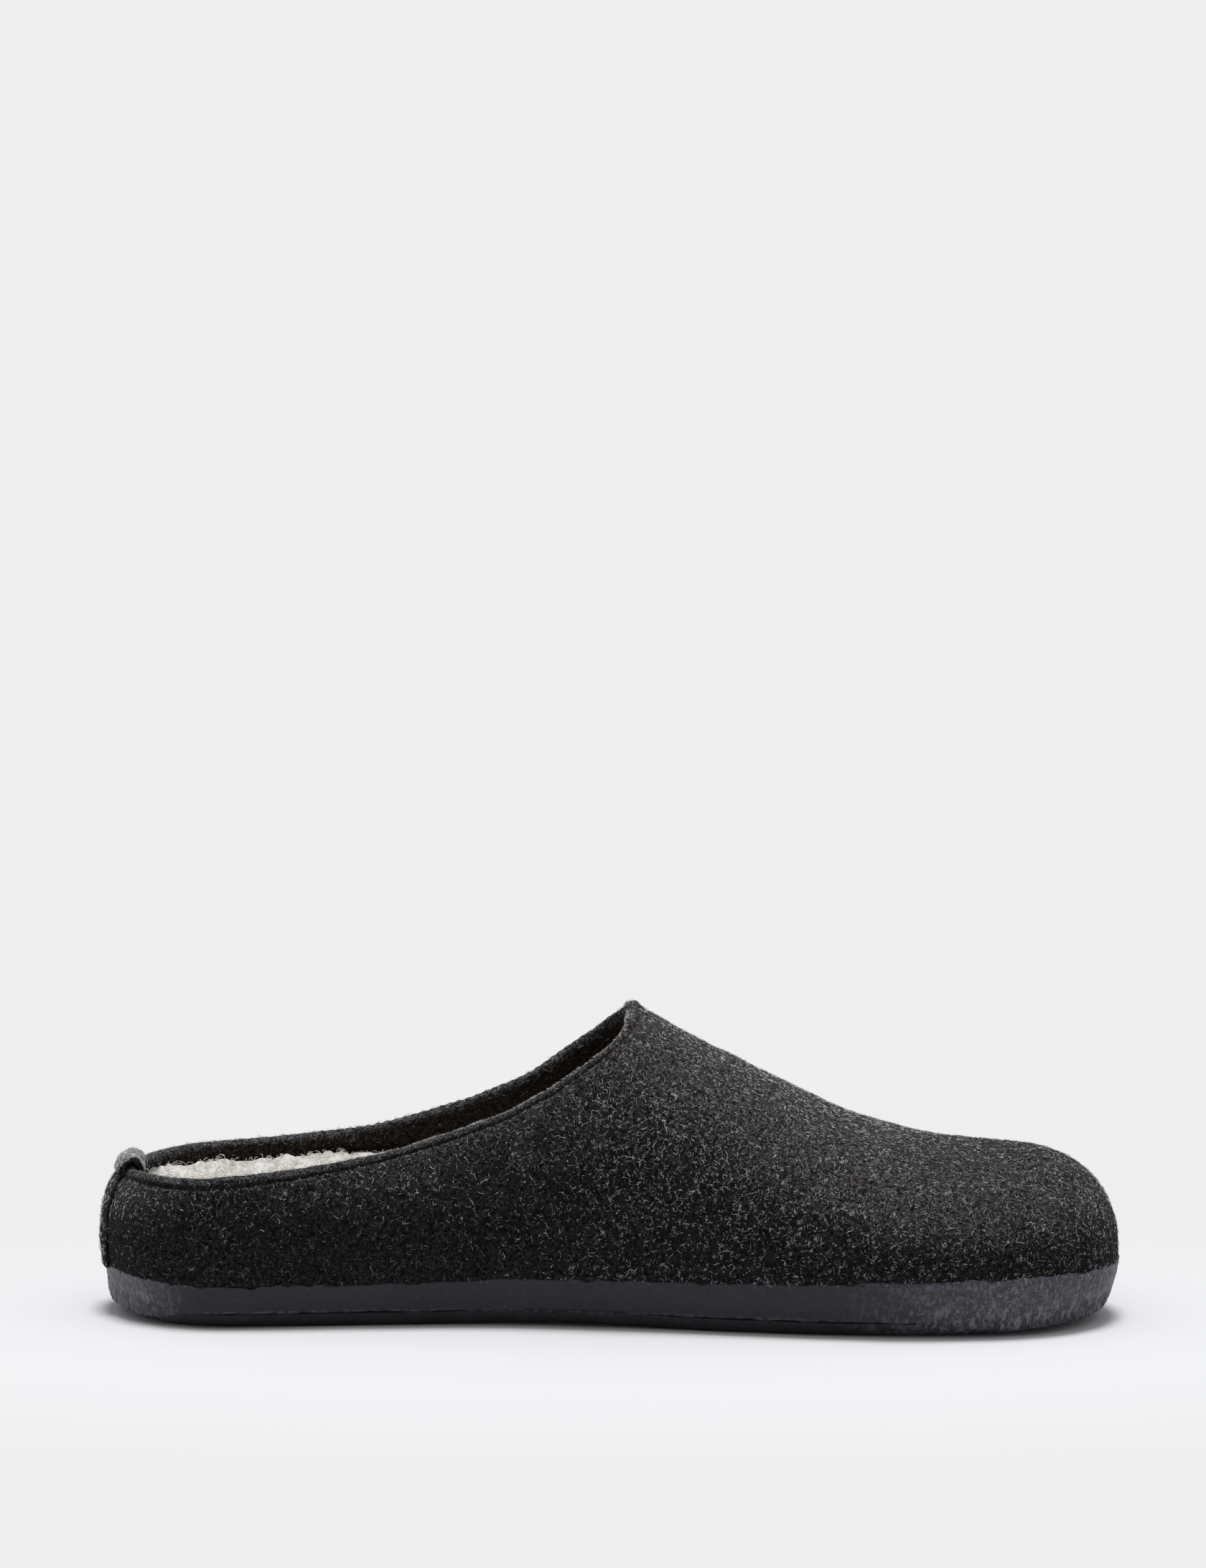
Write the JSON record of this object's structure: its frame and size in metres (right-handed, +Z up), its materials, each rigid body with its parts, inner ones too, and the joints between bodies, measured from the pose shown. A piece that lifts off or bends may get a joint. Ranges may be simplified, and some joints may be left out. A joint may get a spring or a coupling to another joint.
{
  "type": "clog slipper",
  "caption": "Left felt clog slipper: thick moulded felt upper open at the back, rolled collar, folded heel strip, dipped rubber rand, flat rubber outsole and deep fleece footbed.",
  "frame": {"origin": "on the ground under the middle of the shoe's outline box", "axes": "+X to the toe, +Y to the outer (little toe) side of this left shoe, +Z up"},
  "size_m": [0.2854, 0.1034, 0.0859],
  "materials": {
    "felt": "charcoal wool felt with pale curly hairs, matte and fuzzy",
    "felt_strip": "charcoal wool felt, paler along the fold",
    "dipped_rubber": "matte blue grey dipped rubber over felt",
    "sole_rubber": "matte near black rubber",
    "fleece": "cream curly fleece pile"
  },
  "bodies": {
    "root": {"upper": "felt", "heel_strip": "felt_strip", "rand": "dipped_rubber", "outsole": "sole_rubber", "insole": "fleece"}
  },
  "joints": []
}
